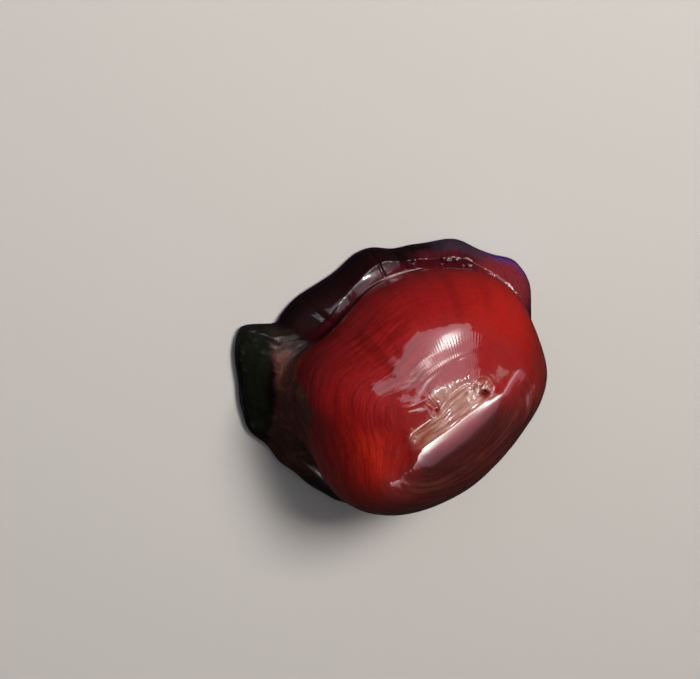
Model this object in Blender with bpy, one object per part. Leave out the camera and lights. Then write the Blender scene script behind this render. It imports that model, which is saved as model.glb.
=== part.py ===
"""Beadlet anemone, closed up out of the water, standing on its foot. Lengths are millimetres until a mesh is made.
The slit of the closed mouth lies along X, the front faces -Y and the sole is at z = 0."""

import bpy
import numpy as np

MM = 0.001
GAP = 0.3  # between neighbouring nodes
ORIGIN = (0.66, 0.75, 0.0)  # moves the middle of the overall box over the origin

# Foot: an oval with lobes. Each lobe is (angle, reach past the oval, width towards lower angles, width towards higher)
FOOT_X = 24.4
FOOT_Y = 20.6
FOOT_LOBES = (
    (-51.0, 6.4, 4.3, 22.0),
    (-20.0, 2.3, 10.0, 13.0),
    (42.0, 2.4, 16.0, 24.0),
    (-62.0, 1.5, 13.0, 6.0),
    (-106.0, 0.6, 9.0, 10.0),
    (-127.0, -1.2, 13.0, 12.0),
    (-177.5, 2.5, 26.0, 8.0),
)
RIM_RADIUS = 0.9
DISC_TOP = 1.1
RUFFLES = 17
RUFFLE_DEPTH = 0.16

# Skirt: the rolled edge round the foot, with a furrow between it and the column
CREST = 3.3
FURROW = 2.6
WAIST_INSET = 4.3
CREST_SHARE = 0.42  # how far in from the edge the roll is highest
SLOPED = 0.40  # at the front, where 0 is a round roll and 1 a straight slope
FRONT = (-98.0, 62.0, 38.0)
EDGE = (-72.0, 26.0, 24.0)
SHELF = (-92.0, 30.0, 32.0)
KNUCKLE = (-66.0, 15.0, 10.0)
BROAD = (-117.0, 13.0, 14.0)
RIGHT = (-30.0, 24.0, 46.0)
LEFT = (180.0, 30.0, 28.0)

# Dome: the swollen column, widest at DOME_Z
DOME_X = 21.7
DOME_Y = 19.2
DOME_Z = 11.5
DOME_UP = 13.6
DOME_SHIFT = (-0.2, 0.6)
DOME_PRESSED = ((-76.0, 0.05, 17.0), (112.0, 0.045, 22.0), (-10.0, 0.06, 20.0), (172.0, 0.02, 14.0))
DOME_SWOLLEN = ((-42.0, 0.045, 14.0), (38.0, 0.05, 22.0), (-157.0, 0.025, 16.0), (150.0, 0.02, 14.0))
SHOULDER = 45.0  # degrees up the dome where the lips begin
LIP_TURN = 84.0  # degrees up the dome where the lips turn in
WALL_START = -58.0

# Closed mouth: a slit with pleated lips. Its back lip is a straight ridge, its front lip opens towards the left end
SLIT = 8.2
SLIT_WIDE = 1.75
SLIT_DROOP = 0.012
SLIT_BOXY = 0.40  # 0 is an oval
SLIT_FORWARD = 0.9
FRONT_OPEN = 2.3
FRONT_OPEN_AT = (-0.45, 0.60)  # middle and spread, in half lengths of the slit
BACK_CLOSED = 2.3
BACK_RIDGE = 0.9
PIT_DEPTH = 1.0
PLEATS = 24
PLEAT_DEPTH = 0.12

ROUND = 144
MOUTH_ROUND = 36
RIM_STEPS = 4
OUTER_STEPS = 6
INNER_STEPS = 7
WALL_STEPS = 8
SIDE_STEPS = 9
LIP_STEPS = 9
PIT_STEPS = 3

# Skirt nodes: name, first angle, last angle
SKIRT_PARTS = (
    ("skirt_front", -140.0, -56.0),
    ("skirt_right", -56.0, 10.0),
    ("skirt_back", 10.0, 152.0),
    ("skirt_left", 152.0, 220.0),
)

COLOURS = {
    "foot": ((0.055, 0.030, 0.110), 0.30),
    "skirt": ((0.040, 0.006, 0.010), 0.22),
    "column": ((0.200, 0.006, 0.010), 0.18),
    "lips": ((0.260, 0.008, 0.012), 0.18),
    "mouth": ((0.120, 0.010, 0.012), 0.30),
}


def lobe(theta, centre, low, high):
    """1 at the centre angle, fading with its own width on each side."""
    away = (np.degrees(theta) - centre + 180.0) % 360.0 - 180.0
    return np.exp(-((np.abs(away) / np.where(away < 0, low, high)) ** 2.5))


def oval(theta, half_x, half_y):
    return 1.0 / np.sqrt((np.cos(theta) / half_x) ** 2 + (np.sin(theta) / half_y) ** 2)


def foot_radius(theta):
    reach = sum(size * lobe(theta, at, low, high) for at, size, low, high in FOOT_LOBES)
    ruffle = RUFFLE_DEPTH * np.sin(RUFFLES * theta + 2.0 * np.sin(2.0 * theta))
    return oval(theta, FOOT_X, FOOT_Y) + reach + ruffle


def dome_radius(theta):
    shape = 1.0 - sum(depth * lobe(theta, at, wide, wide) for at, depth, wide in DOME_PRESSED)
    shape = shape + sum(size * lobe(theta, at, wide, wide) for at, size, wide in DOME_SWOLLEN)
    return oval(theta, DOME_X, DOME_Y) * shape


def skirt_levels(theta):
    """At each angle: the roll's height, where it is highest, the furrow's height, the waist's radius and how straight
    the roll's slopes are."""
    front, right, left = lobe(theta, *FRONT), lobe(theta, *RIGHT), lobe(theta, *LEFT)
    edge, shelf, knuckle = lobe(theta, *EDGE), lobe(theta, *SHELF), lobe(theta, *KNUCKLE)
    crest = CREST + 2.7 * front + 0.8 * right + 1.9 * left - 0.55 * shelf + 0.9 * knuckle
    share = CREST_SHARE + 0.25 * edge + 0.25 * right + 0.12 * left - 0.2 * lobe(theta, *BROAD)
    furrow = FURROW + 3.1 * front + 3.9 * right + 2.3 * left + 0.45 * shelf + 0.9 * knuckle
    waist = dome_radius(theta) - (WAIST_INSET - 3.1 * front - 5.3 * right - 1.8 * left)
    straight = SLOPED * (1.6 * front + 2.2 * right + 0.8 * left)
    return crest, np.minimum(share, 0.92), furrow, waist, np.minimum(straight, 0.9)


def ring(theta, radius, height, share):
    """One ring of points. share is 0 for a ring centred on the foot and 1 for one centred on the dome."""
    x = DOME_SHIFT[0] * share + radius * np.cos(theta)
    y = DOME_SHIFT[1] * share + radius * np.sin(theta)
    return np.stack([x, y, height + 0.0 * theta], axis=-1)


def skirt_rows(theta, base):
    """Rings from the foot's edge at the given height, over the roll and down into the furrow."""
    foot = foot_radius(theta)
    crest, share_in, furrow, waist, straight = skirt_levels(theta)
    inner = waist + GAP / 2
    crest_in = share_in * (foot - inner)
    rows = []
    for step in range(OUTER_STEPS + 1):
        turn = step / OUTER_STEPS * np.pi / 2
        up = (1 - straight) * np.sin(turn) + straight * (1 - np.cos(turn))
        rows.append(ring(theta, foot - crest_in * (1 - np.cos(turn)), base + (crest - base) * up, 0.0))
    for step in range(1, INNER_STEPS + 1):
        share = step / INNER_STEPS
        radius = foot - crest_in - share * (foot - crest_in - inner)
        down = (1 - straight) * (1 + np.cos(np.pi * share)) / 2 + straight * (1 - share)
        height = furrow + (crest - furrow) * down
        rows.append(ring(theta, radius, height, share))
    return rows


def wall_rows(theta):
    """Rings from the waist up the overhanging wall to the widest part of the dome."""
    dome = dome_radius(theta)
    furrow, waist = skirt_levels(theta)[2:4]
    start = np.radians(WALL_START)
    rows = []
    for step in range(WALL_STEPS + 1):
        turn = start * (1 - step / WALL_STEPS)
        out = (np.cos(turn) - np.cos(start)) / (1 - np.cos(start))
        up = 1 - np.sin(turn) / np.sin(start)
        rows.append(ring(theta, waist + (dome - waist) * out, furrow + (DOME_Z - furrow) * up, 1.0))
    return rows


def dome_ring(theta, degrees):
    """A ring at that angle up the dome. The rings draw in from the column's outline to the slit's."""
    turn = np.radians(degrees)
    shoulder = np.sin(np.radians(SHOULDER))
    near = max(0.0, (np.sin(turn) - shoulder) / (1 - shoulder))
    closing = near**2
    east, north = np.cos(theta), np.sin(theta)
    dome = dome_radius(theta)
    stretch = np.sqrt((DOME_X**2 - SLIT**2) * np.cos(turn) ** 2 + SLIT**2) / DOME_X
    x = dome * east * stretch
    narrow = np.sqrt((DOME_Y**2 - SLIT_WIDE**2) * np.cos(turn) ** 2 + SLIT_WIDE**2) / DOME_Y
    boxy = np.sign(north) * np.abs(north) ** (1.0 - SLIT_BOXY * near**4)
    opened = FRONT_OPEN * np.exp(-(((east - FRONT_OPEN_AT[0]) / FRONT_OPEN_AT[1]) ** 2))
    wider = np.where(north < 0, opened, -BACK_CLOSED) * near**8
    y = boxy * (dome * narrow + wider) - SLIT_FORWARD * closing
    droop = SLIT_DROOP * x**2 * closing
    pleats = PLEAT_DEPTH * closing * np.cos(PLEATS * theta) * (0.6 - 0.4 * north)
    risen = np.clip((near - 0.55) / 0.45, 0.0, 1.0)
    ridge = BACK_RIDGE * risen**2 * (3 - 2 * risen) * np.clip(north, 0.0, 1.0)
    z = DOME_Z + DOME_UP * np.sin(turn) - droop + pleats + ridge
    return np.stack([DOME_SHIFT[0] + x, DOME_SHIFT[1] + y, z], axis=-1)


def slit_centre():
    return np.array([DOME_SHIFT[0], DOME_SHIFT[1] - SLIT_FORWARD, 0.0])


def pit_ring(theta, share):
    """A ring inside the slit: share 0 at the lips, 1 at the edge of the floor."""
    lips = dome_ring(theta, LIP_TURN)
    drawn_in = 1.0 - np.array([0.12, 0.62, 0.0]) * share
    inside = slit_centre() + (lips - slit_centre()) * drawn_in
    inside[:, 2] = lips[:, 2] - PIT_DEPTH * share * share * (3 - 2 * share)
    return inside


def material(name):
    colour, roughness = COLOURS[name]
    made = bpy.data.materials.new(name)
    made.use_nodes = True
    shader = made.node_tree.nodes["Principled BSDF"]
    shader.inputs["Base Color"].default_value = (*colour, 1.0)
    shader.inputs["Roughness"].default_value = roughness
    shader.inputs["Metallic"].default_value = 0.0
    return made


def make_object(name, points, faces, kind):
    """Turns points and faces into an object. The winding is reversed if the solid comes out inside out."""
    points = np.asarray(points) + ORIGIN
    volume = 0.0
    for face in faces:
        corners = points[list(face)]
        for second, third in zip(corners[1:-1], corners[2:]):
            volume += np.dot(corners[0], np.cross(second, third))
    if volume < 0:
        faces = [tuple(reversed(face)) for face in faces]
    mesh = bpy.data.meshes.new(name)
    mesh.from_pydata([tuple(point) for point in points * MM], [], faces)
    mesh.validate()
    mesh.materials.append(bpy.data.materials[kind])
    mesh.shade_smooth()
    obj = bpy.data.objects.new(name, mesh)
    bpy.context.scene.collection.objects.link(obj)
    return obj


def full_round(name, rows, kind):
    """A solid from whole rings, closed with a fan over the first and the last."""
    count = len(rows[0])
    points = list(np.concatenate(rows))
    faces = []
    for row in range(len(rows) - 1):
        for step in range(count):
            after = (step + 1) % count
            low, high = row * count, (row + 1) * count
            faces.append((low + step, low + after, high + after, high + step))
    for row, flip in ((0, True), (len(rows) - 1, False)):
        centre = len(points)
        points.append(rows[row].mean(axis=0))
        for step in range(count):
            edge = (row * count + step, row * count + (step + 1) % count)
            faces.append((edge[1], edge[0], centre) if flip else (edge[0], edge[1], centre))
    return make_object(name, points, faces, kind)


def part_round(name, rows, kind):
    """A solid from open rings that run round a cross-section, closed with a face at each end."""
    count = len(rows[0])
    points = np.concatenate(rows)
    faces = []
    for row in range(len(rows)):
        low, high = row * count, (row + 1) % len(rows) * count
        for step in range(count - 1):
            faces.append((low + step, low + step + 1, high + step + 1, high + step))
    faces.append(tuple(row * count for row in range(len(rows))))
    faces.append(tuple(row * count + count - 1 for row in reversed(range(len(rows)))))
    return make_object(name, points, faces, kind)


def flat(rows, height):
    """The same ring moved to one height."""
    moved = rows.copy()
    moved[:, 2] = height
    return moved


def make_disc(theta):
    foot = foot_radius(theta)
    rows = []
    for step in range(RIM_STEPS + 1):
        turn = step / RIM_STEPS * np.pi / 2
        rows.append(ring(theta, foot - RIM_RADIUS * (1 - np.sin(turn)), DISC_TOP * (1 - np.cos(turn)), 0.0))
    full_round("pedal_disc", rows, "foot")


def make_skirt(name, first, last):
    """One stretch of the skirt. Its ends stop half a gap short of the neighbouring stretches."""
    base = DISC_TOP + GAP
    trim = np.degrees(GAP / 2 / FOOT_X)
    count = max(8, round(ROUND * (last - first) / 360.0))
    theta = np.radians(np.linspace(first + trim, last - trim, count + 1))
    rows = skirt_rows(theta, base)
    rows.append(flat(rows[-1], base))
    part_round(name, rows, "skirt")


def make_column(theta):
    """The lower column stands inside the skirt and ends at the widest part. The upper column ends at the shoulder."""
    base = DISC_TOP + GAP
    furrow, waist = skirt_levels(theta)[2:4]
    wall = wall_rows(theta)
    wall[-1] = flat(wall[-1], DOME_Z - GAP / 2)
    inside = ring(theta, waist - GAP / 2, furrow + GAP / 2, 1.0)
    full_round("column_lower", [flat(inside, base), inside] + wall[1:], "column")
    top = DOME_Z + DOME_UP * np.sin(np.radians(SHOULDER))
    rows = [dome_ring(theta, SHOULDER * step / SIDE_STEPS) for step in range(SIDE_STEPS + 1)]
    rows[0] = flat(rows[0], DOME_Z + GAP / 2)
    rows[-1] = flat(rows[-1], top - GAP / 2)
    full_round("column_upper", rows, "column")
    return top + GAP / 2


def make_lips(floor):
    """Two pleated lips that meet at both ends of the slit, on the flat top of the upper column."""
    for name, first, side in (("lip_back", 0.0, 1.0), ("lip_front", 180.0, -1.0)):
        theta = np.radians(np.linspace(first, first + 180.0, ROUND // 2 + 1))
        turns = np.linspace(SHOULDER, LIP_TURN, LIP_STEPS + 1)
        rows = [dome_ring(theta, turn) for turn in turns]
        rows[0] = flat(rows[0], floor)
        rows += [pit_ring(theta, step / PIT_STEPS) for step in range(1, PIT_STEPS + 1)]
        rows.append(flat(rows[-1], floor))
        for row in rows:
            row[:, 1] += side * GAP / 2 * (1 - np.abs(np.sin(theta)))
        part_round(name, rows, "lips")


def make_mouth(theta, floor):
    """The floor of the slit, sunk a little along its middle."""
    edge = pit_ring(theta, 1.0)
    centre = slit_centre()
    clear = 1.0 - GAP / np.abs(edge - centre)[:, :2].max(axis=0)
    rows = []
    for long, wide, drop in ((1.0, 1.0, 0.0), (0.90, 0.55, 0.2), (0.75, 0.2, 0.3)):
        shape = (edge - centre) * np.array([clear[0] * long, clear[1] * wide, 1.0])
        shape[:, 2] = edge[:, 2] - drop
        rows.append(centre + shape)
    full_round("oral_disc", [flat(rows[0], floor)] + rows, "mouth")


for old in list(bpy.data.objects):
    bpy.data.objects.remove(old, do_unlink=True)
for kind in COLOURS:
    material(kind)
whole = np.linspace(0.0, 2.0 * np.pi, ROUND, endpoint=False)
make_disc(whole)
for part in SKIRT_PARTS:
    make_skirt(*part)
lip_floor = make_column(whole)
make_lips(lip_floor)
make_mouth(whole[:: ROUND // MOUTH_ROUND], lip_floor)
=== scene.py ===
"""Looks of the beadlet anemone, closed up out of the water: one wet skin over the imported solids.
Lengths are millimetres in the solids' own frame until the mesh is made, and metres after that.
Angles are degrees. Those round the body run from +X to the back, so the front is at -90, and
those up the wall and the dome start where the dome is widest."""

import itertools

import bpy
import numpy as np
from mathutils import Matrix


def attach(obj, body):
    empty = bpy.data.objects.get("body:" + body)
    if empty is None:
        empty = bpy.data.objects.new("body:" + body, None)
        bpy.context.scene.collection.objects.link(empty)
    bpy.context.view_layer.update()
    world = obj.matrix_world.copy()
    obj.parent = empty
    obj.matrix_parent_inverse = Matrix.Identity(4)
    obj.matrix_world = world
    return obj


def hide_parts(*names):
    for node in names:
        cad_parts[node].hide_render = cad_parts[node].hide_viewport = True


MM = 0.001

# The sizes from here to PIT_DEPTH repeat the solids' sizes, so that the skin lies where they are.
ORIGIN = np.array([0.66, 0.75, 0.0])  # moves the middle of the overall box over the origin

# Foot: an oval with lobes. Each lobe: angle, reach past the oval, widths on its low and high side
FOOT_X = 24.4
FOOT_Y = 20.6
FOOT_LOBES = (
    (-51, 6.4, 4.3, 22),
    (-20, 2.3, 10, 13),
    (42, 2.4, 16, 24),
    (-62, 1.5, 13, 6),
    (-106, 0.6, 9, 10),
    (-127, -1.2, 13, 12),
    (-177.5, 2.5, 26, 8),
)
LOBE_POWER = 2.5
RIM_RADIUS = 0.9
DISC_TOP = 1.1
RUFFLES = 17
RUFFLE_DEPTH = 0.16

# Skirt: the rolled edge round the foot, with a furrow between it and the column
CREST = 3.3
CREST_SHARE = 0.42  # how far in from the edge the roll is highest
MOST_SHARE = 0.92
FURROW = 2.6
WAIST_INSET = 4.3
SLOPED = 0.40  # 0 is a round roll and 1 a straight slope
MOST_SLOPED = 0.9
# Each part of the skirt: angle, widths on its low and high side
FRONT = (-98, 62, 38)
EDGE = (-72, 26, 24)
SHELF = (-92, 30, 32)
KNUCKLE = (-66, 15, 10)
BROAD = (-117, 13, 14)
RIGHT = (-30, 24, 46)
LEFT = (180, 30, 28)
# What each part adds: to CREST, CREST_SHARE, FURROW and the waist's radius, and times SLOPED
SKIRT_ADDS = (
    (FRONT, 2.7, 0, 3.1, 3.1, 1.6),
    (RIGHT, 0.8, 0.25, 3.9, 5.3, 2.2),
    (LEFT, 1.9, 0.12, 2.3, 1.8, 0.8),
    (EDGE, 0, 0.25, 0, 0, 0),
    (SHELF, -0.55, 0, 0.45, 0, 0),
    (KNUCKLE, 0.9, 0, 0.9, 0, 0),
    (BROAD, 0, -0.2, 0, 0, 0),
)

# Dome: the swollen column, widest at DOME_Z. Each dent or swelling: angle, size, width
DOME_X = 21.7
DOME_Y = 19.2
DOME_Z = 11.5
DOME_UP = 13.6
DOME_SHIFT = (-0.2, 0.6)
DOME_PRESSED = (
    (-76, 0.05, 17),
    (112, 0.045, 22),
    (-10, 0.06, 20),
    (172, 0.02, 14),
)
DOME_SWOLLEN = (
    (-42, 0.045, 14),
    (38, 0.05, 22),
    (-157, 0.025, 16),
    (150, 0.02, 14),
)
WALL_START = -58.0
SHOULDER = 45.0
LIP_TURN = 84.0

# Closed mouth: a slit between a straight back lip and a front lip that opens towards the left end
SLIT = 8.2
SLIT_WIDE = 1.75
SLIT_DROOP = 0.012
SLIT_BOXY = 0.40  # 0 is an oval
SLIT_FORWARD = 0.9
FRONT_OPEN = 2.3
FRONT_OPEN_AT = (-0.45, 0.60)  # middle and spread, in half lengths of the slit
BACK_CLOSED = 2.3
BACK_RIDGE = 0.9
RIDGE_START = 0.55  # share of the way from the shoulder to the lips
PIT_DRAWN_IN = np.array([0.12, 0.62, 0.0])  # along, across and down
PIT_DEPTH = 1.0

# The skin's grid
ROUND = 600
CROWDING = 0.35
SOLE_SHARES = (0.5, 0.85, 0.97)
RIM_STEPS = 4
OUTER_STEPS = 12
INNER_STEPS = 14
WALL_STEPS = 14
DOME_STEPS = 36
LIP_STEPS = 50
PIT_STEPS = 16
FLOOR_STEPS = 13
FLOOR_DRAWN_IN = np.array([0.25, 0.96, 0.0])
SOLE, RIM, SKIRT, WALL, DOME, PIT = range(6)
TROUGH = 0.06  # how deep the closed mouth sinks, for its width
FLOW_RADIUS = 22.0  # of the circle on which the way round the body is measured
BELOW_WALL = -62.0  # the turn that stands for the sole, the rim and the skirt
PIT_TURNS = 10.0  # what the pit adds to the lips' turn
OUTSIDE, INSIDE = -9.0, 9.0  # the places that stand for all that is outside or inside the skirt

# Ripples round the body: length, width, seed, height on the dome, at its low right and its back
RIPPLES = (
    (7, 1.2, 3, 0.010, 0.024, 0),
    (4, 0.6, 36, 0.003, 0.009, 0),
    (11, 1.3, 4, 0, 0, 0.035),
    (8, 0.7, 5, 0, 0, 0.016),
)
# Small glinting bumps: count, first and last angle, least and most mm up from the furrow, size
BEAD_AREAS = (
    (26, -156, -138, -3.6, -0.5, 0.28),
    (18, -173, -162, -4.4, -0.8, 0.28),
    (6, -126, -121, -2.2, -0.9, 0.42),
    (14, -170, -95, 5, 13, 0.20),
    (20, -58, -16, -9, -4, 0.26),
)
BEAD_SEED = 12
# Radial folds of the skirt: angle, half width, depth
SKIRT_FOLDS = (
    (-71, 1.6, 0.15),
    (-107.5, 0.7, 0.22),
    (-119.5, 1.2, 0.30),
    (-126.5, 1, 0.30),
    (-138, 1.4, 0.30),
    (-150, 1.6, 0.30),
)
LOBE_RIDGES = 0.21  # from one ridge to the next, as a share of the roll's slope
RIM_GROOVE = 0.22
FAN_PLEATS = 170
RIBS = 3.4
RIB_HEIGHT = 0.009  # for the mouth's width
# Small bumps in and beside the mouth: x, y, size, height. The first ones, in the mouth, get a
# painted white glint.
MOUTH_BUMPS = (
    (-4.7, -2.3, 0.38, 0.20),
    (-4.8, -1.1, 0.34, 0.17),
    (-5.8, -1.6, 0.42, 0.21),
    (-3.9, -1.4, 0.34, 0.17),
    (-7.7, -0.9, 0.36, 0.15),
    (7, -0.9, 0.30, 0.12),
    (6.4, -1.3, 0.26, 0.10),
    (2.5, -2.6, 0.26, 0.09),
    (0.4, -4.1, 0.30, 0.10),
)
# how many of the first bumps get a painted white glint
GLINT_PAINTED_BUMPS = 4
# Ovals on the top: x, y, half length, half width, angle
HOLE = (-6.7, -0.3, 0.70, 0.40, -45)
# where the hole's painted shade lies
HOLE_SHADE_OVAL = (-6.7, -0.3, 0.90, 0.50, -45)
NOTCH = (1.5, -3, 0.5, 0.3, 40)
MOUTH_SWELLING = (-7, -2.6, 1.3, 0.9, 35)
RIDGE_SWELLING = (-11, 1.4, 4.4, 2.1, 7)
RIDGE_BUMP = (-11.7, -1.2, 1.5, 1.5, 0)
FILM_ON_LIP = (-1.3, -4.7, 2.5, 1.2, -12)
RIDGE_LINE = (-10.9, 1.4, 0.12)  # the far ridge's left end: x, y and slope

# Colours of the skin, linear
DOME_RED = (0.235, 0.0065, 0.0062)
# painted shade, laid on the front of the dome
DOME_PAINTED_SHADE = (0.08, 0.0035, 0.006)
# painted glow: light shining through the flesh, laid on as colour
DOME_PAINTED_GLOW = (0.45, 0.016, 0.006)
BACK_BROWN = (0.038, 0.0045, 0.0045)
STREAK_BROWN = (0.12, 0.026, 0.016)
LIP_PINK = (0.24, 0.06, 0.055)
# the hole's own red, darkened as painted shade in the recess
MOUTH_RED_AND_SHADE = (0.12, 0.004, 0.006)
LIP_TAN = (0.4, 0.27, 0.18)
# painted white glints on bumps in the mouth
PAINTED_GLINT_WHITE = (0.74, 0.66, 0.6)
# near-black: the skirt's own colour, and painted shade on the outer slope of its front
SKIRT_DARK_AND_SHADE = (0.006, 0.002, 0.0026)
SKIRT_RED = (0.07, 0.005, 0.009)
WEDGE_RED = (0.17, 0.016, 0.023)
# black: on the right lobe its own colour with the dome's painted shadow, and dark streaks in the
# brown skin
BLACK_AND_SHADOW = (0.007, 0.0075, 0.005)
# painted green sheen: reflected light from green surroundings, laid on the lobe
LOBE_GREEN_SHEEN = (0.011, 0.014, 0.008)
# painted highlights along the lobe's ridges
LOBE_RIDGE_HIGHLIGHT = (0.07, 0.074, 0.056)
BROWN = (0.062, 0.022, 0.018)
BROWN_LIGHT = (0.12, 0.044, 0.026)
LIMBUS_BLUE = (0.06, 0.028, 0.22)
# painted highlight where a line of water shines in the skirt's crease
WATER_LINE_HIGHLIGHT = (0.5, 0.36, 0.36)
SKIRT_GREY = (0.04, 0.024, 0.044)
SOLE_PINK = (0.11, 0.035, 0.045)
DARKEST = 0.001
# Darker paints on the dome, painted shade on its front and the back's own brown: paint, strength,
# first and last angle and fade, turns where it thins and ends
DOME_SHADES = (
    (DOME_PAINTED_SHADE, 0.75, (-82, -2, 26), -2, 52),
    (DOME_PAINTED_SHADE, 0.55, (-170, -86, 20), -12, 42),
    (BACK_BROWN, 0.92, (30, 148, 20), 73, 84),
    (BACK_BROWN, 0.45, (120, 176, 16), 34, 66),
)
# The upper edge of the veined brown skin: angle, turn
BROWN_EDGE = (
    (-62, -60), (-46, -24), (-43, -5), (-40, 12), (-34, 19),
    (-28, 15), (-22, 7), (-5, -7), (6, -30), (18, -60),
)
FLESH = {
    "Metallic": 0.0,
    "IOR": 1.38,
    "Specular IOR Level": 0.10,
    "Subsurface Weight": 0.18,
    "Subsurface Radius": (1.0, 0.14, 0.08),
    "Subsurface Scale": 0.0014,
    "Coat Roughness": 0.03,
    "Coat IOR": 1.45,
}
# Fine markings, as noise: stretch in mm round the body and up it, detail, roughness
LINES = ((6.0, 6.0, 0.42), 3.0, 0.6)
THREADS = ((9.0, 9.0, 0.50), 4.0, 0.65)
FILM_RIPPLES = ((2.5, 2.5, 0.35), 3.0, 0.6)
VEIN_PATCHES = ((3.0, 3.0, 3.0), 2.0, 0.5)

# Camera and studio. Pixels are in the photograph's frame of 700 x 679.
FRAME_WIDE = 700
FRAME_HIGH = 679
FOCAL_PIXELS = 2480.0
SENSOR = 36.0
VIEW_AZIMUTH = 12.7
VIEW_ELEVATION = 57.0
VIEW_ROLL = -133.0
VIEW_DISTANCE = 0.400
AIM = (0.0, 0.0, 11.5)
AIM_PIXEL = (418.0, 388.2)
FLOOR_SIZE = 6.0
FLOOR_COLOUR = (0.52, 0.51, 0.49)
WORLD_GREY = (0.02, 0.018, 0.017)
# Lamps: name, direction (right, up, toward the camera), distance, size, brightness
LAMPS = (
    ("sun", (0.62, 0.25, 0.80), 0.60, (0.24, 0.24), (24.0, 22.5, 21.0)),
    ("fill", (-0.10, 0.30, 1.0), 0.70, (0.80, 0.80), (0.55, 0.58, 0.65)),
)

# The bright card whose reflection lies on the skin. East and north are degrees from straight up
CARD_DISTANCE = 0.60
CARD_STEP = 0.5
CARD_COLUMNS = 61
CARD_TORN = 0.9  # how uneven its sides are
CARD_SEED = 5
# Its outline: degrees north, then east to its west end and to its east end
CARD_ROWS = (
    (-49, -17, 6),
    (-40, -36, 8),
    (-26, -50, 6),
    (-13, -43, 5),
    (0, -36, 5),
    (17, -36, 1.5),
    (24, -36, 1.5),
    (28, -39.5, 1.5),
    (32, -43, 1.5),
    (36, -46, 2),
    (40, -50, 22),
    (44.4, -52, 30),
    (50.4, -52, 26),
    (55, -52, 20),
    (58.5, -48, 14),
    (60, -44, 9),
    (63, -17, 2),
)
# Its own light: degrees north, then red, green and blue
CARD_LIGHT = (
    (0, 2, 2.2, 2.5),
    (8, 2.1, 2.3, 2.4),
    (22, 1.9, 2.1, 2),
    (30, 1.3, 1.5, 1.2),
    (33.5, 3, 2.4, 2.3),
    (37, 9.5, 9, 8.6),
    (41, 10, 9.2, 8.8),
    (43.5, 5.8, 4.6, 4.8),
    (45.5, 3.3, 2.2, 2.6),
    (48.5, 2.2, 1.2, 1.45),
    (52.5, 1.7, 0.80, 1.05),
    (56.5, 1.4, 0.65, 0.90),
    (58.5, 0.35, 0.25, 0.25),
    (63, 0.05, 0.05, 0.05),
)
# Brighter places on it, and darker where below zero: east, north, half sizes, brightness
CARD_SPOTS = (
    (-31, -25, 5.2, 4.2, 34),
    (-3, 1, 6, 5, 15),
    (-28, -25, 14, 9, 4.5),
    (-12, -26.5, 12, 1.5, 12),
    (-37, 58.5, 4, 6, -4),
    (12, 39.8, 12, 2.5, 24),
    (-8, 38.8, 7, 2.3, 12),
    (-29, 38.6, 12, 2.4, 24),
    (-47, 38, 7, 3.5, -11),
    (-3, 1, 1.3, 1.3, 200),
    (-24, 6, 2.2, 1.8, 110),
)
SPOT_COLOUR = np.array([1.0, 0.97, 0.93])


def degrees_past(theta, centre):
    """How many degrees an angle lies past the centre, from -180 to 180."""
    return (np.degrees(theta) - centre + 180.0) % 360.0 - 180.0


def lobe(theta, centre, low, high):
    """1 at the centre angle, fading with its own width on each side."""
    away = degrees_past(theta, centre)
    return np.exp(-((np.abs(away) / np.where(away < 0, low, high)) ** LOBE_POWER))


def bell(value, wide):
    """1 at zero, fading over a width on both sides."""
    return np.exp(-((value / wide) ** 2))


def rise(value, start, end):
    """0 before start, 1 after end, smooth between."""
    share = np.clip((value - start) / (end - start), 0.0, 1.0)
    return share * share * (3 - 2 * share)


def fall(value, start, end):
    """1 before start, 0 after end, smooth between."""
    return rise(-value, -end, -start)


def between(value, start, end, fade):
    """1 from start to end, with a fade across both."""
    return rise(value, start - fade, start + fade) * fall(value, end - fade, end + fade)


def spot(points, x, y, long, wide, angle=0.0):
    """1 at a place on the top, fading over its length and width."""
    turn = np.radians(angle)
    east, north = points[..., 0] - x, points[..., 1] - y
    along = east * np.cos(turn) + north * np.sin(turn)
    across = north * np.cos(turn) - east * np.sin(turn)
    return np.exp(-((along / long) ** 2) - (across / wide) ** 2)


def oval(theta, half_x, half_y):
    return 1.0 / np.sqrt((np.cos(theta) / half_x) ** 2 + (np.sin(theta) / half_y) ** 2)


def foot_radius(theta):
    reach = sum(size * lobe(theta, at, low, high) for at, size, low, high in FOOT_LOBES)
    ruffle = RUFFLE_DEPTH * np.sin(RUFFLES * theta + 2.0 * np.sin(2.0 * theta))
    return oval(theta, FOOT_X, FOOT_Y) + reach + ruffle


def dome_radius(theta):
    pressed = sum(depth * lobe(theta, at, wide, wide) for at, depth, wide in DOME_PRESSED)
    swollen = sum(size * lobe(theta, at, wide, wide) for at, size, wide in DOME_SWOLLEN)
    return oval(theta, DOME_X, DOME_Y) * (1.0 - pressed + swollen)


def skirt_levels(theta):
    """At each angle: the roll's height, where it is highest, the furrow's height, the waist's
    radius and how straight the roll's slopes are."""
    added = sum(np.outer(amounts, lobe(theta, *part)) for part, *amounts in SKIRT_ADDS)
    crest, share, furrow, waist, straight = added
    share = np.minimum(CREST_SHARE + share, MOST_SHARE)
    waist = dome_radius(theta) - (WAIST_INSET - waist)
    return CREST + crest, share, FURROW + furrow, waist, np.minimum(SLOPED * straight, MOST_SLOPED)


def ring(theta, radius, height, share):
    """One ring of points. share is 0 for a ring centred on the foot and 1 for one centred on the
    dome."""
    x = DOME_SHIFT[0] * share + radius * np.cos(theta)
    y = DOME_SHIFT[1] * share + radius * np.sin(theta)
    return np.stack([x, y, height + 0.0 * theta], axis=-1)


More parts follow.
